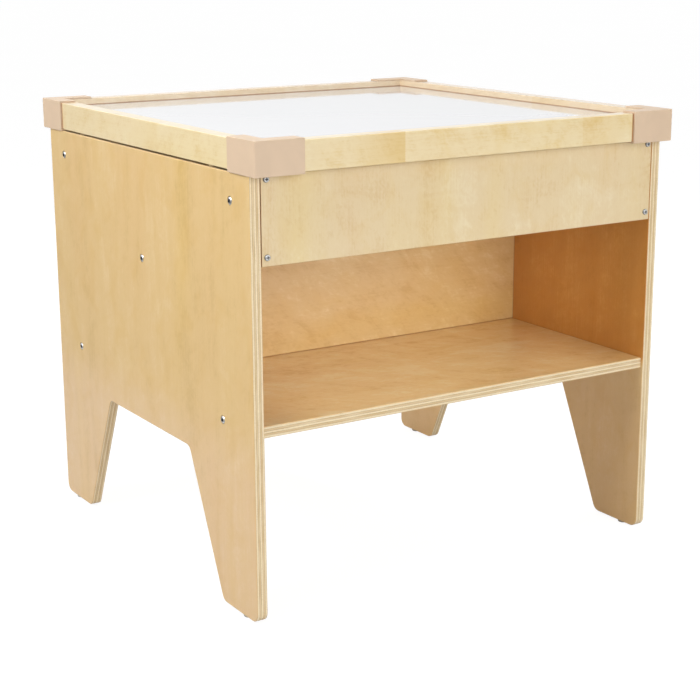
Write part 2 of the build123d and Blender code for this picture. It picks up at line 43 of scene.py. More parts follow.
# Camera: a long lens in front of the table and to its left
CAMERA_AZIMUTH = math.radians(-32.2)
CAMERA_ELEVATION = math.radians(14.4)
CAMERA_DISTANCE = 2.354
CAMERA_ROLL = math.radians(0.256)
CAMERA_LENS = 81.5
AIM_BELOW_MIDDLE = 0.0587
AIM_RIGHT_OF_MIDDLE = 0.0087

# The surround's brightness to the camera, on surfaces, and in reflections above and below the horizon
SKY_ON_CAMERA = 1.0
SKY_ON_SURFACES = 0.42
SKY_IN_REFLECTIONS = 0.95
DARK_IN_REFLECTIONS = 0.22
HORIZON_BLEND = (-0.02, 0.04)

# The floor: how far it reaches, its two greys, and the share and brightness of the white that the camera
# sees over them. Glossy surfaces don't mirror the part of it that lies left of SHEET_EDGE_X
FLOOR_REACH = 30.0
FLOOR_GREYS = (0.59, 0.63)
FLOOR_WHITENING = 0.70
FLOOR_WHITE = 1.30
SHEET_EDGE_X = -0.65

# Round softboxes about the table. Glossy surfaces mirror only some of them
SOFTBOXES = {
    "front": {"direction": (0.05, -1.0, 0.28), "distance": 2.6, "size": 2.0, "watts": 31.0},
    "left": {"direction": (-1.0, -0.05, 0.95), "distance": 2.4, "size": 1.6, "watts": 43.0},
    "back": {"direction": (0.1, 1.0, 0.30), "distance": 2.6, "size": 2.0, "watts": 20.0},
    "right": {"direction": (1.0, 0.1, 0.45), "distance": 2.6, "size": 2.0, "watts": 18.0},
}
MIRRORED_SOFTBOXES = ("left",)
LIGHT_COLOUR = (0.985, 1.0, 1.02)

# Faint lights at the mouth of each bay and between the legs
BAY_FILL_WATTS = 0.18
BAY_FILL_SIDE_GAP = 0.06
BAY_FILL_HEIGHT = 0.10
BAY_FILL_LIFT = 0.012
BAY_FILL_OUT = 0.010
BAY_FILL_SPREAD = math.radians(110)
BAY_FILL_TURN = math.radians(86)
UNDER_FILL_WATTS = 0.21
UNDER_FILL_SIZE = 0.16
UNDER_FILL_PLACE = (0.02, 0.16)
UNDER_FILL_YAW = math.radians(14)


def camera():
    """The photographer's view: low, from the table's front left."""
    aim = table_middle + Vector((AIM_RIGHT_OF_MIDDLE, 0, -AIM_BELOW_MIDDLE))
    level = math.cos(CAMERA_ELEVATION)
    back = Vector((
        math.sin(CAMERA_AZIMUTH) * level,
        -math.cos(CAMERA_AZIMUTH) * level,
        math.sin(CAMERA_ELEVATION),
    ))
    data = bpy.data.cameras.new("camera")
    data.lens = CAMERA_LENS
    view = bpy.data.objects.new("camera", data)
    bpy.context.scene.collection.objects.link(view)
    view.rotation_mode = "QUATERNION"
    view.location = aim + back * CAMERA_DISTANCE
    view.rotation_quaternion = Quaternion(-back, CAMERA_ROLL) @ (-back).to_track_quat("-Z", "Y")
    bpy.context.scene.camera = view


# Shader helpers: each one adds a node and returns its output socket


class Shader:
    """A Principled material whose nodes are added by short calls."""

    def __init__(self, name):
        self.material = bpy.data.materials.new(name)
        self.material.use_nodes = True
        self.tree = self.material.node_tree
        self.surface = self.tree.nodes["Principled BSDF"]

    def put(self, socket, value):
        """Links an output to the socket, or sets the socket to a plain value."""
        if isinstance(value, bpy.types.NodeSocket):
            self.tree.links.new(value, socket)
        else:
            socket.default_value = value

    def set(self, **values):
        """Puts values on the surface: base_color=... goes to the socket Base Color."""
        for name, value in values.items():
            label = " ".join("IOR" if word == "ior" else word.capitalize() for word in name.split("_"))
            self.put(self.surface.inputs[label], value)

    def math(self, operation, a, b=0.0, c=0.0):
        node = self.tree.nodes.new("ShaderNodeMath")
        node.operation = operation
        for socket, value in zip(node.inputs, (a, b, c)):
            self.put(socket, value)
        return node.outputs[0]

    def length(self, a, b):
        """The length of a plane vector whose two parts are a and b."""
        squares = [self.math("MULTIPLY", part, part) for part in (a, b)]
        return self.math("SQRT", self.math("ADD", *squares))

    def rescale(self, value, low, high, to_low=0.0, to_high=1.0):
        """The value carried from the range low..high to to_low..to_high, and held at its ends."""
        node = self.tree.nodes.new("ShaderNodeMapRange")
        for socket, entry in zip(node.inputs, (value, low, high, to_low, to_high)):
            self.put(socket, entry)
        return node.outputs[0]

    def position(self):
        """The point's coordinates in the part's own frame: the vector, x, y and z."""
        point = self.tree.nodes.new("ShaderNodeTexCoord").outputs["Object"]
        split = self.tree.nodes.new("ShaderNodeSeparateXYZ")
        self.put(split.inputs[0], point)
        return point, tuple(split.outputs)

    def vector(self, x, y, z):
        node = self.tree.nodes.new("ShaderNodeCombineXYZ")
        for socket, value in zip(node.inputs, (x, y, z)):
            self.put(socket, value)
        return node.outputs[0]

    def noise(self, point, scale=1.0, detail=2.0, roughness=0.5, distortion=0.0):
        node = self.tree.nodes.new("ShaderNodeTexNoise")
        for name, value in (
            ("Vector", point),
            ("Scale", scale),
            ("Detail", detail),
            ("Roughness", roughness),
            ("Distortion", distortion),
        ):
            self.put(node.inputs[name], value)
        return node.outputs[0]

    def ramp(self, value, stops, stepped=False):
        """A colour for each value: stops are (place, colour) pairs."""
        node = self.tree.nodes.new("ShaderNodeValToRGB")
        node.color_ramp.interpolation = "CONSTANT" if stepped else "EASE"
        elements = node.color_ramp.elements
        while len(elements) > 1:
            elements.remove(elements[-1])
        for number, (place, colour) in enumerate(stops):
            element = elements[0] if number == 0 else elements.new(place)
            element.position = place
            element.color = (*colour, 1.0)
        self.put(node.inputs[0], value)
        return node.outputs[0]

    def mix(self, share, a, b, how="MIX"):
        node = self.tree.nodes.new("ShaderNodeMix")
        node.data_type = "RGBA"
        node.blend_type = how
        for socket, value in ((node.inputs[0], share), (node.inputs[6], a), (node.inputs[7], b)):
            self.put(socket, (*value, 1.0) if isinstance(value, tuple) else value)
        return node.outputs[2]

    def bump(self, height, distance, strength=1.0):
        node = self.tree.nodes.new("ShaderNodeBump")
        node.inputs["Strength"].default_value = strength
        node.inputs["Distance"].default_value = distance
        self.put(node.inputs["Height"], height)
        self.put(self.surface.inputs["Normal"], node.outputs[0])


# Birch

X, Y, Z = 0, 1, 2

# Each tone: dark, middle and light
BIRCH_TONES = {
    "golden": ((0.675, 0.445, 0.170), (0.765, 0.525, 0.225), (0.815, 0.595, 0.300)),
    "pale": ((0.700, 0.505, 0.260), (0.765, 0.600, 0.355), (0.815, 0.680, 0.450)),
    "honey": ((0.610, 0.380, 0.150), (0.675, 0.450, 0.198), (0.735, 0.530, 0.265)),
    "shelf": ((0.765, 0.455, 0.175), (0.880, 0.600, 0.275), (0.920, 0.705, 0.390)),
    # A darker, redder copy of golden, painted as shade and warm bounce on the side panels' inner faces in
    # the bays
    "tawny_shaded": ((0.560, 0.225, 0.040), (0.655, 0.285, 0.058), (0.740, 0.360, 0.095)),
    "rail": ((0.745, 0.560, 0.270), (0.815, 0.665, 0.395), (0.860, 0.745, 0.500)),
    "pinkish": ((0.730, 0.550, 0.340), (0.795, 0.630, 0.425), (0.845, 0.710, 0.520)),
}
ROSY_TINT = (0.985, 0.93, 0.94)
STRAW_TINT = (1.0, 0.98, 0.78)
HONEY_TINT = (0.93, 0.84, 0.58)
PORE_SHADE = (0.40, 0.22, 0.09)
PORE_STRENGTH = 0.18
GRAIN_RELIEF = 0.00006

# Painted shade on the legs below the shelf, darker and pinker, and the share of the shelf's height below
# which it is full
LEG_SHADE_TINT = (0.95, 0.92, 1.0)
LEG_SHADE_FULL = 0.75

# Plywood's cut edge
CORE_PLIES = 5
PLY_FACE = 0.0007
PLY_WAVER = 0.0005
PLY_LIGHT = (0.88, 0.73, 0.47)
PLY_DARK = (0.69, 0.49, 0.25)
PLY_SPECK_SHADE = (0.50, 0.33, 0.16)
PLY_STREAK_SHADE = (0.90, 0.76, 0.50)
GLUE_LINE = (0.40, 0.24, 0.10)
GLUE_HALF_WIDTH = 0.00020

# Painted shadow and dust in the seams between pieces: its colour, strength and width, and for each seam
# how far from the other piece the line starts, and where it is full
SEAM_SHADOW_AND_DUST = (0.38, 0.17, 0.06)
SEAM_SHADOW_STRENGTH = 0.75
SEAM_WIDTH = 0.0011
END_SHADOW_SEAM = (1.5 * SEAM_WIDTH, 0.9 * SEAM_WIDTH)
CAP_SHADOW_SEAM = (2.4 * SEAM_WIDTH, 1.8 * SEAM_WIDTH)
SHEET_SHADOW_SEAM = (1.2 * SEAM_WIDTH, 0.8 * SEAM_WIDTH)

# Finger joints: how far the tint reaches along the rail, where it is full, and the depth of the fingers
JOINT_FADE = 0.08
JOINT_NEAR = 0.01
FINGER_DEPTH = 0.0015

# Noise on a cut edge: features a metre along the grain, across it and into the board
PLY_WAVES = (14.0, 14.0, 0.0)
PLY_SPECKS = (900.0, 900.0, 500.0)
PLY_STREAKS = (30.0, 30.0, 260.0)

# Noise in the veneer's figure: features a metre along the grain and across it
BANDS = (0.9, 8.0)
HILLS = (1.1, 6.0)
BREAKS = (7.0, 40.0)
STREAKS = (16.0, 420.0)
FLECKS = (160.0, 620.0)
BLUSH = (1.5, 10.0)
HONEY_PATCHES = (20.0, 26.0)
FIBRES = (60.0, 2300.0)
SHEEN = (14.0, 22.0)

# Growth-ring lines in the height of the hills, and how far the streaks and flecks sway the lightness
RING_WAVES = 75.0
STREAK_SWAY = 0.40
FLECK_SWAY = 0.26

# The clouds, flame and curls: features along and across, share of the board's slant, share of its curl,
# and the noise's detail, roughness and distortion
CURLY_LAYERS = (
    ((17.0, 12.0), 1.0, 1.2, (5.0, 0.66, 1.2)),
    ((46.0, 30.0), 1.6, 0.4, (3.0, 0.50, 1.4)),
    ((120.0, 150.0), 1.2, 0.6, (3.0, 0.50, 1.0)),
)


def wood_frame(shader, along, across, depth, offset):
    """Coordinates along the grain, across it and into the board, shifted so that boards differ."""
    _, axes = shader.position()
    shift = (offset, 1.7 * offset, 2.3 * offset)
    return [shader.math("ADD", axes[axis], shift[axis]) for axis in (along, across, depth)], axes


def stretched(shader, wood, along, across, depth=None):
    """A point for noise with so many features a metre along, across and into the wood.

    Without a depth there are as many into the wood as across it."""
    counts = (along, across, across if depth is None else depth)
    return shader.vector(*(shader.math("MULTIPLY", axis, count) for axis, count in zip(wood, counts)))


def slanted(shader, wood, slant):
    """The wood's axes with its length leaning across the board."""
    return [shader.math("MULTIPLY_ADD", wood[1], slant, wood[0]), wood[1], wood[2]]


def swing(shader, value, height, base):
    """base, moved up and down by a noise value."""
    return shader.math("MULTIPLY_ADD", shader.math("SUBTRACT", value, 0.5), height, base)


def birch_value(shader, wood, contours, curl, slant, bands):
    """How light the veneer is at a point, about 0 to 1, and its fine streaks.

    contours is the strength of the growth-ring lines, curl that of the cloudy flame, and bands that of
    the long light and dark bands."""
    drift = shader.noise(stretched(shader, wood, *BANDS), detail=3.0, roughness=0.55)
    value = swing(shader, drift, bands, 0.5)
    for size, lean, sway, (detail, roughness, distortion) in CURLY_LAYERS:
        point = stretched(shader, slanted(shader, wood, lean * slant), *size)
        layer = shader.noise(point, detail=detail, roughness=roughness, distortion=distortion)
        value = swing(shader, layer, sway * curl, value)
    hills = shader.noise(stretched(shader, wood, *HILLS), detail=2.0, roughness=0.45)
    rings = shader.math("SINE", shader.math("MULTIPLY", hills, RING_WAVES))
    broken = shader.noise(stretched(shader, wood, *BREAKS), detail=2.0)
    value = shader.math("MULTIPLY_ADD", shader.math("MULTIPLY", rings, broken), contours, value)
    streaks = shader.noise(stretched(shader, wood, *STREAKS), detail=3.0, roughness=0.7)
    value = swing(shader, streaks, STREAK_SWAY, value)
    flecks = shader.noise(stretched(shader, wood, *FLECKS), detail=2.0, roughness=0.7)
    value = swing(shader, flecks, FLECK_SWAY, value)
    return value, streaks


def birch_colour(shader, wood, tone, contours, curl, slant, bands=0.9, honey=0.3):
    """Veneer colour, and a height for its fine relief. honey is the depth of the small yellow patches."""
    value, streaks = birch_value(shader, wood, contours, curl, slant, bands)
    dark, middle, light = BIRCH_TONES[tone]
    colour = shader.ramp(value, [(0.14, dark), (0.5, middle), (0.86, light)])
    blush = shader.noise(stretched(shader, wood, *BLUSH), detail=2.0)
    rosy = shader.rescale(blush, 0.50, 0.75, 0.0, 0.5)
    colour = shader.mix(rosy, colour, ROSY_TINT, "MULTIPLY")
    straw = shader.rescale(blush, 0.46, 0.30, 0.0, 0.6)
    colour = shader.mix(straw, colour, STRAW_TINT, "MULTIPLY")
    patch_point = stretched(shader, slanted(shader, wood, 0.5 * slant), *HONEY_PATCHES)
    patches = shader.noise(patch_point, detail=3.0, distortion=0.6)
    yellow = shader.rescale(patches, 0.50, 0.68, 0.0, honey)
    colour = shader.mix(yellow, colour, HONEY_TINT, "MULTIPLY")
    fibres = shader.noise(stretched(shader, wood, *FIBRES), detail=2.0, roughness=0.6)
    pores = shader.rescale(fibres, 0.66, 0.74)
    colour = shader.mix(shader.math("MULTIPLY", pores, PORE_STRENGTH), colour, PORE_SHADE)
    relief = shader.math("MULTIPLY_ADD", pores, -0.6, shader.math("MULTIPLY", streaks, 0.5))
    return colour, relief


def lacquer(shader, wood, relief):
    """Puts a satin lacquer on the surface, with the grain's relief in it."""
    patches = shader.noise(stretched(shader, wood, *SHEEN), detail=3.0)
    shader.set(
        roughness=shader.rescale(patches, 0.3, 0.7, 0.36, 0.46),
        coat_weight=0.85,
        coat_roughness=0.16,
        coat_ior=1.48,
    )
    shader.bump(relief, GRAIN_RELIEF, 0.55)


def ply_layers(shader, wood, ply, thickness):
    """The colour of a board's cut edge: core plies between two veneers. ply runs 0 to 1 through it."""
    face = PLY_FACE / thickness
    core = (1 - 2 * face) / CORE_PLIES
    line = GLUE_HALF_WIDTH / thickness
    stops = [(0.0, PLY_LIGHT)]
    for number in range(CORE_PLIES + 1):
        edge = face + number * core
        stops.append((edge - line, GLUE_LINE))
        stops.append((edge + line, (PLY_LIGHT, PLY_DARK)[number % 2]))
    layers = shader.ramp(ply, stops, stepped=True)
    specks = shader.noise(stretched(shader, wood, *PLY_SPECKS), detail=2.0, roughness=0.7)
    streaks = shader.noise(stretched(shader, wood, *PLY_STREAKS), detail=3.0)
    layers = shader.mix(shader.rescale(specks, 0.35, 0.75, 0.0, 0.35), layers, PLY_SPECK_SHADE)
    return shader.mix(shader.rescale(streaks, 0.40, 0.70, 0.0, 0.45), layers, PLY_STREAK_SHADE)


def side_panel_veneers(shader, height, inward, colour, bay_shade_colour):
    """A side panel's colour, with a darker painted-shade tone on its inner face above the shelf, and
    painted shade, darker and pinker, down the legs.
    """
    shelf_low, shelf_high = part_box("shelf")
    above_shelf = shader.rescale(height, shelf_low.z, shelf_high.z)
    # Painted shade: the inner face above the shelf takes the darker bay colour
    colour = shader.mix(shader.math("MULTIPLY", inward, above_shelf), colour, bay_shade_colour)
    # Painted shade: darker and pinker down the legs, under the shelf
    leg_shade = shader.rescale(height, shelf_high.z, LEG_SHADE_FULL * shelf_low.z)
    return shader.mix(leg_shade, colour, LEG_SHADE_TINT, "MULTIPLY")


def end_shadow_seam(shader, place, low, high, colour):
    """The colour, with a painted shadow and dust line where a board's ends butt against others."""
    past_low = shader.math("SUBTRACT", place, low)
    from_end = shader.math("MINIMUM", past_low, shader.math("SUBTRACT", high, place))
    line = shader.rescale(from_end, *END_SHADOW_SEAM, 0.0, SEAM_SHADOW_STRENGTH)
    return shader.mix(line, colour, SEAM_SHADOW_AND_DUST)


def plywood(
    node, grain, tone, offset, contours=0.1, curl=0.4, slant=0.6, bands=0.9, bay_shade_tone=None, meets=()
):
    """Birch plywood for one board: veneer on the faces, and the layers showing on every cut edge.

    grain holds the axes (0, 1, 2) of the grain, of the width and of the thickness. The bay tone, if any,
    is the darker tone painted as shade on a side panel's inner face above the shelf, inside the bay.
    meets holds the axes along which the board's ends butt against others, where a painted shadow and dust
    line runs."""
    shader = Shader(f"{node}_birch")
    wood, axes = wood_frame(shader, *grain, offset)
    colour, relief = birch_colour(shader, wood, tone, contours, curl, slant, bands)
    low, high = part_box(node)
    depth = grain[2]
    thickness = high[depth] - low[depth]
    waver = shader.noise(stretched(shader, wood, *PLY_WAVES), detail=2.0)
    ply = swing(shader, waver, PLY_WAVER, shader.math("SUBTRACT", axes[depth], low[depth]))
    ply = shader.math("DIVIDE", ply, thickness)
    # Painted shade: a darker tone for a side panel's inner face inside the bay
    if bay_shade_tone:
        bay_shade_colour, _ = birch_colour(shader, wood, bay_shade_tone, contours, curl, slant, bands)
        inward = shader.math("LESS_THAN" if low[depth] > 0 else "GREATER_THAN", ply, 0.5)
        colour = side_panel_veneers(shader, axes[Z], inward, colour, bay_shade_colour)
    # Painted shadow and dust lines at the ends that butt against other boards
    for axis in meets:
        colour = end_shadow_seam(shader, axes[axis], low[axis], high[axis], colour)
    layers = ply_layers(shader, wood, ply, thickness)
    near_face = shader.math("MINIMUM", ply, shader.math("SUBTRACT", 1.0, ply))
    face = PLY_FACE / thickness
    inside = shader.rescale(near_face, face * 0.80, face * 1.05)
    shader.set(base_color=shader.mix(inside, colour, layers))
    lacquer(shader, wood, relief)
    return shader.material


def finger_joint(shader, place_along, joint, colour):
    """The colour, tinted on both sides of a finger joint and fading back to the board's own."""
    place, below, above = joint
    past = shader.math("SUBTRACT", place_along, place)
    below_joint = shader.math("LESS_THAN", past, 0.0)
    near_below = shader.math("MULTIPLY", shader.rescale(past, -JOINT_FADE, -JOINT_NEAR), below_joint)
    above_joint = shader.math("SUBTRACT", 1.0, below_joint)
    near_above = shader.math("MULTIPLY", shader.rescale(past, JOINT_FADE, JOINT_NEAR), above_joint)
    colour = shader.mix(near_below, colour, below, "MULTIPLY")
    return shader.mix(near_above, colour, above, "MULTIPLY")


def solid_birch(name, grain, tone, offset, honey=0.3, joints=()):
    """Solid birch: its shader, axes and colour, so that painted shadow and dust lines can still be added.

    joints are finger joints: (place along the grain, tint below it, tint above it)."""
    shader = Shader(name)
    wood, axes = wood_frame(shader, *grain, offset)
    colour, relief = birch_colour(
        shader, wood, tone, contours=0.06, curl=0.6, slant=0.3, bands=0.8, honey=honey
    )
    fingers = shader.math("PINGPONG", axes[Z], FINGER_DEPTH)
    place_along = shader.math("ADD", axes[grain[0]], fingers)
    for joint in joints:
        colour = finger_joint(shader, place_along, joint, colour)
    shader.set(base_color=colour)
    lacquer(shader, wood, relief)
    return shader, axes, colour


def small_birch(name, grain, tone, offset):
    """Solid birch of small pieces, such as cleats, dowels and pegs."""
    shader, _, _ = solid_birch(name, grain, tone, offset)
    return shader.material


def rail_birch(side, grain, tone, offset, honey, joints):
    """Birch of one rail of the framed top, with painted shadow and dust lines at the sheet and at the cap
    on its +X or +Y end.
    """
    shader, axes, colour = solid_birch(f"{side}_rail_birch", grain, tone, offset, honey, joints)
    _, cap_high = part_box("corner_cap_front_left")
    _, rail_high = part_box("left_lid_rail")
    _, sheet_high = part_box("lid_panel")
    outward = shader.math("ABSOLUTE", axes[grain[2]])
    on_inner_face = shader.math("LESS_THAN", outward, -rail_high.x + SEAM_WIDTH)
    from_cap = shader.math("ABSOLUTE", shader.math("ADD", axes[grain[0]], cap_high.x))
    # Painted shadow and dust line beside the cap's end, on the rail's outer and top faces
    cap_shadow_seam = shader.rescale(from_cap, *CAP_SHADOW_SEAM)
    cap_shadow_seam = shader.math("MULTIPLY", cap_shadow_seam, shader.math("SUBTRACT", 1.0, on_inner_face))
    # Painted shadow and dust line on the rail's inner face just above the sheet
    above_sheet = shader.math("SUBTRACT", axes[Z], sheet_high.z)
    sheet_shadow_seam = shader.rescale(above_sheet, *SHEET_SHADOW_SEAM, 0.0, SEAM_SHADOW_STRENGTH)
    sheet_shadow_seam = shader.math("MULTIPLY", sheet_shadow_seam, on_inner_face)
    seam_shadow = shader.math("MAXIMUM", cap_shadow_seam, sheet_shadow_seam)
    shader.set(base_color=shader.mix(seam_shadow, colour, SEAM_SHADOW_AND_DUST))
    return shader.material


# Other materials

# Radii of the bolts' heads and sockets and of the screws' heads, and half sizes of the screws' crosses
BOLT_HEAD = 0.00525
SOCKET_RADIUS = 0.0023
PAN_HEAD = 0.004
RECESS_REACH = 0.0021
RECESS_HALF_WIDTH = 0.0005
# Painted shadow and grime in the heads' recesses and around their rims
GRIME_AND_SHADOW = (0.03, 0.03, 0.035)

# The white sheet's two tones, and the painted shadow and dust line at its edge: how far in it starts, and
# where it is full
SHEET_TONES = ((0.700, 0.704, 0.722), (0.728, 0.732, 0.745))
SHEET_EDGE_SHADOW = (0.16, 0.10, 0.06)
SHEET_EDGE_SHADOW_STARTS = 0.0016
SHEET_EDGE_SHADOW_FULL = 0.0006

# Moulded pieces: colour, roughness, grain features a metre, height of the grain, and mottle
MOULDED = {
    "beige_cap": ((0.695, 0.515, 0.355), 0.42, 900.0, 0.00004, 0.06),
    "nylon_glide": ((0.42, 0.40, 0.37), 0.5, 1500.0, 0.00003, 0.06),
    "basin_shell": ((0.70, 0.75, 0.77), 0.32, 300.0, 0.00005, 0.03),
    "drain_shell": ((0.055, 0.058, 0.062), 0.38, 1200.0, 0.00003, 0.06),
    "rubber": ((0.022, 0.022, 0.022), 0.62, 1500.0, 0.00004, 0.06),
}


def white_sheet(name, edge):
    """A glossy white laminate with faint wiping marks, and a thin painted shadow and dust line where it
    meets the rails.
    """
    shader = Shader(name)
    point, (x, y, _) = shader.position()
    marks = shader.noise(point, scale=3.5, detail=4.0, roughness=0.6, distortion=1.2)
    dust = shader.noise(point, scale=420.0, roughness=0.6)
    colour = shader.mix(shader.rescale(marks, 0.35, 0.75), *SHEET_TONES)
    out = shader.math("MAXIMUM", shader.math("ABSOLUTE", x), shader.math("ABSOLUTE", y))
    starts, full = edge - SHEET_EDGE_SHADOW_STARTS, edge - SHEET_EDGE_SHADOW_FULL
    # Painted shadow and dust line along the sheet's edge, under the rails
    line = shader.rescale(out, starts, full, 0.0, SEAM_SHADOW_STRENGTH)
    shader.set(
        base_color=shader.mix(line, colour, SHEET_EDGE_SHADOW),
        roughness=shader.math("MULTIPLY_ADD", dust, 0.03, shader.rescale(marks, 0.3, 0.7, 0.045, 0.085)),
        coat_weight=0.5,
        coat_roughness=0.03,
    )
    return shader.material


def moulded_plastic(name):
    """Moulded plastic or rubber with a fine spark-eroded grain and a slight flow mottle."""
    colour, roughness, grain_scale, grain_height, mottle = MOULDED[name]
    shader = Shader(name)
    point, _ = shader.position()
    flow = shader.noise(point, scale=26.0, detail=3.0, roughness=0.55, distortion=0.8)
    grain = shader.noise(point, scale=grain_scale, roughness=0.6)
    shaded = tuple(channel * (1 - mottle) for channel in colour)
    shader.set(
        base_color=shader.mix(shader.rescale(flow, 0.3, 0.7), shaded, colour),
        roughness=shader.rescale(grain, 0.3, 0.7, roughness - 0.05, roughness + 0.06),
        coat_weight=0.05,
    )
    shader.bump(grain, grain_height, 0.5)
    return shader.material


def zinc_surface(shader):
    """Colour and roughness of zinc-plated steel with duller patches."""
    point, _ = shader.position()
    patches = shader.noise(point, scale=260.0, detail=3.0, roughness=0.6)
    scratches = shader.noise(point, scale=2600.0, roughness=0.7)
    shader.set(metallic=1.0, roughness=shader.rescale(patches, 0.3, 0.7, 0.34, 0.20))
    shader.bump(scratches, 0.00001, 0.4)
    return shader.ramp(patches, [(0.3, (0.74, 0.74, 0.74)), (0.6, (0.90, 0.90, 0.89))])


def zinc_plate(name):
    """Zinc all over, for pieces whose heads don't show."""
    shader = Shader(name)
    shader.set(base_color=zinc_surface(shader))
    return shader.material


def within(shader, distance, limit, blur=0.05):
    """1 where the distance is under the limit and 0 past it, blurred by a share of the limit."""
    return shader.rescale(distance, limit * (1 + blur), limit * (1 - blur))


def shadowed_grimy_head(shader, metal, recess, rim):
    """Puts the metal on the surface, with painted shadow and grime darkening its recess and greying its
    rim.
    """
    recess = shader.math("MULTIPLY", recess, 0.92)
    rim = shader.math("MULTIPLY", rim, 0.75)
    shader.set(base_color=shader.mix(shader.math("MAXIMUM", recess, rim), metal, GRIME_AND_SHADOW))


def zinc_bolts(node):
    """Zinc for button heads on the side panels, with painted shadow and grime in the socket and around
    the rim.
    """
    shader = Shader(f"{node}_zinc")
    metal = zinc_surface(shader)
    low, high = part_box(node)
    _, (_, y, z) = shader.position()
    from_y = shader.math("SUBTRACT", shader.math("ABSOLUTE", y), high.y - BOLT_HEAD)
    from_z = shader.math("SUBTRACT", z, (low.z + high.z) / 2)
    radius = shader.length(from_y, from_z)
    socket = within(shader, radius, SOCKET_RADIUS)
    shadowed_grimy_head(shader, metal, socket, shader.rescale(radius, BOLT_HEAD * 0.86, BOLT_HEAD * 0.97))
    return shader.material


def zinc_panel_screws(node):
    """Zinc for pan heads on an access panel, with painted shadow and grime in the cross recess and around
    the rim.
    """
    shader = Shader(f"{node}_zinc")
    metal = zinc_surface(shader)
    low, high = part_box(node)
    _, (x, _, z) = shader.position()
    off_middle = shader.math("ABSOLUTE", x)
    from_x = shader.math("ABSOLUTE", shader.math("SUBTRACT", off_middle, high.x - PAN_HEAD))
    middle = (low.z + high.z) / 2
    spread = (high.z - low.z) / 2 - PAN_HEAD
    off_middle = shader.math("ABSOLUTE", shader.math("SUBTRACT", z, middle))
    from_z = shader.math("ABSOLUTE", shader.math("SUBTRACT", off_middle, spread))
    long_way = shader.math("MAXIMUM", from_x, from_z)
    short_way = shader.math("MINIMUM", from_x, from_z)
    cross = shader.math(
        "MULTIPLY",
        within(shader, short_way, RECESS_HALF_WIDTH, 0.1),
        within(shader, long_way, RECESS_REACH),
    )
    radius = shader.length(from_x, from_z)
    shadowed_grimy_head(shader, metal, cross, shader.rescale(radius, PAN_HEAD * 0.84, PAN_HEAD * 0.97))
    return shader.material


def floor_paint(name):
    """Pale matt floor, whitened where the camera sees it."""
    shader = Shader(name)
    point, _ = shader.position()
    shade = shader.noise(point, scale=1.5, detail=3.0)
    darker, paler = ((grey, grey, grey) for grey in FLOOR_GREYS)
    shader.set(
        base_color=shader.mix(shader.rescale(shade, 0.3, 0.7), darker, paler),
        roughness=0.9,
        specular_ior_level=0.1,
    )
    tree = shader.tree
    white = tree.nodes.new("ShaderNodeEmission")
    white.inputs["Strength"].default_value = FLOOR_WHITE
    seen = tree.nodes.new("ShaderNodeLightPath").outputs["Is Camera Ray"]
    blend = tree.nodes.new("ShaderNodeMixShader")
    tree.links.new(shader.math("MULTIPLY", seen, FLOOR_WHITENING), blend.inputs[0])
    tree.links.new(shader.surface.outputs[0], blend.inputs[1])
    tree.links.new(white.outputs[0], blend.inputs[2])
    tree.links.new(blend.outputs[0], tree.nodes["Material Output"].inputs["Surface"])
    return shader.material


# Stage: a pale floor, a white surround and soft lights


def surround():
    """A white studio: plain to the camera, softer on surfaces, dark below the horizon in reflections."""
    world = bpy.data.worlds.new("surround")
    world.use_nodes = True
    tree = world.node_tree
    ray = tree.nodes.new("ShaderNodeLightPath").outputs
    direction = tree.nodes.new("ShaderNodeTexCoord").outputs["Generated"]
    split = tree.nodes.new("ShaderNodeSeparateXYZ")
    tree.links.new(direction, split.inputs[0])

    def pick(share, low, high):
        node = tree.nodes.new("ShaderNodeMapRange")
        for socket, value in zip(node.inputs, (share, 0.0, 1.0, low, high)):
            if isinstance(value, bpy.types.NodeSocket):
                tree.links.new(value, socket)
            else:
                socket.default_value = value
        return node.outputs[0]

    horizon = tree.nodes.new("ShaderNodeMapRange")
    tree.links.new(split.outputs[2], horizon.inputs[0])
    levels = (*HORIZON_BLEND, DARK_IN_REFLECTIONS, SKY_IN_REFLECTIONS)
    for socket, value in zip(horizon.inputs[1:5], levels):
        socket.default_value = value
    seen = pick(ray["Is Glossy Ray"], SKY_ON_SURFACES, horizon.outputs[0])
    seen = pick(ray["Is Camera Ray"], seen, SKY_ON_CAMERA)
    tree.links.new(seen, tree.nodes["Background"].inputs["Strength"])
    tree.nodes["Background"].inputs["Color"].default_value = (1.0, 1.0, 1.0, 1.0)
    bpy.context.scene.world = world


def floor_sheet(name, from_x, to_x):
    """Part of the level floor, between two X places."""
    mesh = bpy.data.meshes.new(name)
    near, far = -FLOOR_REACH, FLOOR_REACH
    corners = [(from_x, near, 0), (to_x, near, 0), (to_x, far, 0), (from_x, far, 0)]
    mesh.from_pydata(corners, [], [(0, 1, 2, 3)])
    mesh.materials.append(floor_paint(name))
    sheet = bpy.data.objects.new(name, mesh)
    sheet.location.z = cad_low.z
    bpy.context.scene.collection.objects.link(sheet)
    return sheet


def area_light(name, shape, size, watts, mirrored=False):
    """A soft light that the camera doesn't see, and that glossy surfaces see only if it is mirrored."""
    light = bpy.data.lights.new(name, "AREA")
    light.shape = shape
    light.size = size
    light.energy = watts
    holder = bpy.data.objects.new(name, light)
    holder.visible_camera = False
    holder.visible_glossy = mirrored
    bpy.context.scene.collection.objects.link(holder)
    return holder


def softboxes():
    """The round studio lights about the table."""
    for name, box in SOFTBOXES.items():
        holder = area_light(name, "DISK", box["size"], box["watts"], name in MIRRORED_SOFTBOXES)
        holder.data.color = LIGHT_COLOUR
        away = Vector(box["direction"]).normalized()
        holder.location = table_middle + away * box["distance"]
        holder.rotation_mode = "QUATERNION"
        holder.rotation_quaternion = away.to_track_quat("Z", "Y")


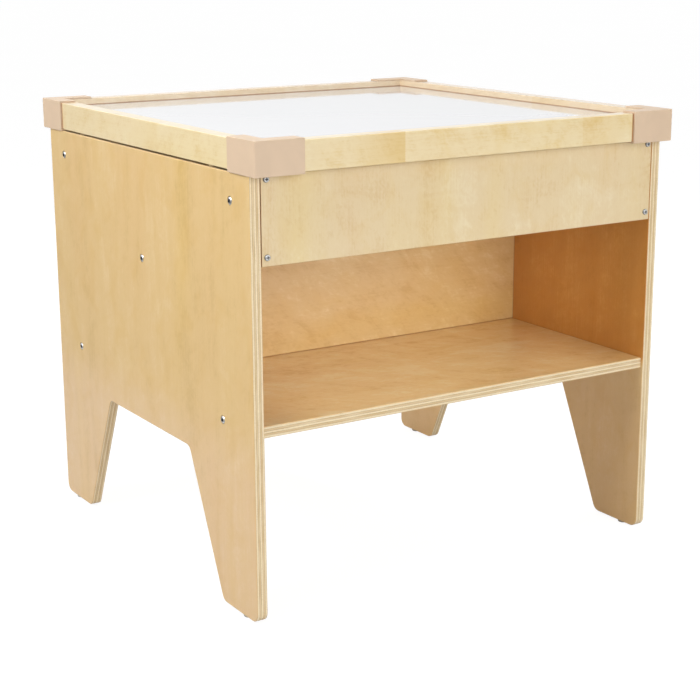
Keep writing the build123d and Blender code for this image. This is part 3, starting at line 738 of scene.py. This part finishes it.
def bay_fills():
    """Soft light that comes into each open bay through the lower part of its mouth."""
    low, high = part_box("shelf")
    for name, y, turn in (
        ("front_bay_fill", low.y - BAY_FILL_OUT, BAY_FILL_TURN),
        ("back_bay_fill", high.y + BAY_FILL_OUT, -BAY_FILL_TURN),
    ):
        width = high.x - low.x - 2 * BAY_FILL_SIDE_GAP
        holder = area_light(name, "RECTANGLE", width, BAY_FILL_WATTS)
        holder.data.size_y = BAY_FILL_HEIGHT
        holder.data.spread = BAY_FILL_SPREAD
        holder.location = (0, y, high.z + BAY_FILL_LIFT + BAY_FILL_HEIGHT / 2)
        holder.rotation_euler = (turn, 0, 0)


def under_fill():
    """Soft light between the legs, as a bright room throws it under a table."""
    holder = area_light("under_fill", "SQUARE", UNDER_FILL_SIZE, UNDER_FILL_WATTS)
    shelf_low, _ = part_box("shelf")
    holder.location = (*UNDER_FILL_PLACE, shelf_low.z / 2)
    holder.rotation_euler = (0, math.radians(-90), UNDER_FILL_YAW)


def stage():
    """Floor, surround and lights."""
    bpy.context.scene.view_settings.view_transform = "Standard"
    surround()
    floor_sheet("floor", SHEET_EDGE_X, FLOOR_REACH)
    floor_sheet("floor_beyond", -FLOOR_REACH, SHEET_EDGE_X).visible_glossy = False
    softboxes()
    bay_fills()
    under_fill()


def finish_nodes(material, *names):
    """Puts one material on each slot of the named CAD nodes."""
    for name in names:
        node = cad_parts[name]
        for entry in node.material_slots:
            entry.material = material


def dress_cabinet():
    """Wood on the cabinet and its pegs. Each offset is a board's own, so that no two are alike."""
    upright, standing, level, lying = (Z, Y, X), (Z, X, Y), (X, Z, Y), (X, Y, Z)
    for node, offset in (("left_side_panel", 3.1), ("right_side_panel", 8.7)):
        figure = {"contours": 0.12, "curl": 0.42, "slant": 0.2, "bands": 0.65}
        # The side panels' inner faces in the bays get a darker tone as painted shade
        finish_nodes(plywood(node, upright, "golden", offset, bay_shade_tone="tawny_shaded", **figure), node)
    # The shelf's and divider's meets axes get painted shadow and dust lines at their ends
    finish_nodes(plywood("shelf", lying, "shelf", 5.3, curl=1.0, meets=(X,)), "shelf")
    figure = {"contours": 0.14, "curl": 1.0, "slant": 0.7}
    finish_nodes(plywood("center_divider", level, "honey", 1.9, meets=(X, Z), **figure), "center_divider")
    for end, offset in (("front", 2.4), ("back", 6.6)):
        apron, rail = f"{end}_access_panel", f"{end}_cross_rail"
        finish_nodes(plywood(apron, standing, "pale", offset, curl=0.6, slant=0.25), apron)
        finish_nodes(plywood(rail, level, "honey", offset + 9, contours=0.06, curl=0.5), rail)
    cleats = [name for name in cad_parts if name.startswith("corner_cleat")]
    finish_nodes(small_birch("cleat_birch", standing, "honey", 4.0), *cleats)
    finish_nodes(small_birch("dowel_birch", lying, "rail", 7.0), "cross_rail_dowels")
    finish_nodes(small_birch("peg_birch", standing, "rail", 7.5), "lid_pegs")


# The framed top's rails: tone, depth of the honey patches, and finger joints as solid_birch takes them
PLAIN = (1.0, 1.0, 1.0)
RAILS = {
    "front": ("rail", 0.55, [(-0.1125, (0.92, 0.83, 0.62), PLAIN), (0.17, PLAIN, (0.97, 0.93, 0.84))]),
    "back": ("pinkish", 0.15, [(0.05, (0.98, 0.95, 0.90), PLAIN)]),
    "left": ("rail", 0.15, [(-0.06, PLAIN, (0.98, 0.96, 0.90))]),
    "right": ("pinkish", 0.25, [(-0.05, (0.97, 0.94, 0.86), PLAIN)]),
}


def dress_top():
    """Wood, laminate and plastic on the framed top."""
    for number, (side, (tone, honey, joints)) in enumerate(RAILS.items()):
        grain = (X, Z, Y) if side in ("front", "back") else (Y, Z, X)
        birch = rail_birch(side, grain, tone, 11.0 + 2.7 * number, honey, joints)
        finish_nodes(birch, f"{side}_lid_rail")
    _, rail_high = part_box("left_lid_rail")
    finish_nodes(white_sheet("white_laminate", -rail_high.x), "lid_panel")
    caps = [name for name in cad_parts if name.startswith("corner_cap_") and "screws" not in name]
    finish_nodes(moulded_plastic("beige_cap"), *caps)


def dress_fittings():
    """Metal on the fasteners, and plastic or rubber on the glides, the basin and its drain."""
    steel = [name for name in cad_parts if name.endswith(("_screws", "_barrel_nuts"))]
    finish_nodes(zinc_plate("zinc_plate"), *steel)
    for node in ("shelf_bolts", "cross_rail_bolts", "divider_bolts"):
        finish_nodes(zinc_bolts(node), node)
    for node in ("front_panel_screws", "back_panel_screws"):
        finish_nodes(zinc_panel_screws(node), node)
    glides = [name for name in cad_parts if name.startswith("foot_glide")]
    finish_nodes(moulded_plastic("nylon_glide"), *glides)
    finish_nodes(moulded_plastic("basin_shell"), "basin")
    finish_nodes(moulded_plastic("drain_shell"), "drain_fitting", "drain_nut")
    finish_nodes(moulded_plastic("rubber"), "drain_gasket", "drain_plug")


camera()
stage()
dress_cabinet()
dress_top()
dress_fittings()
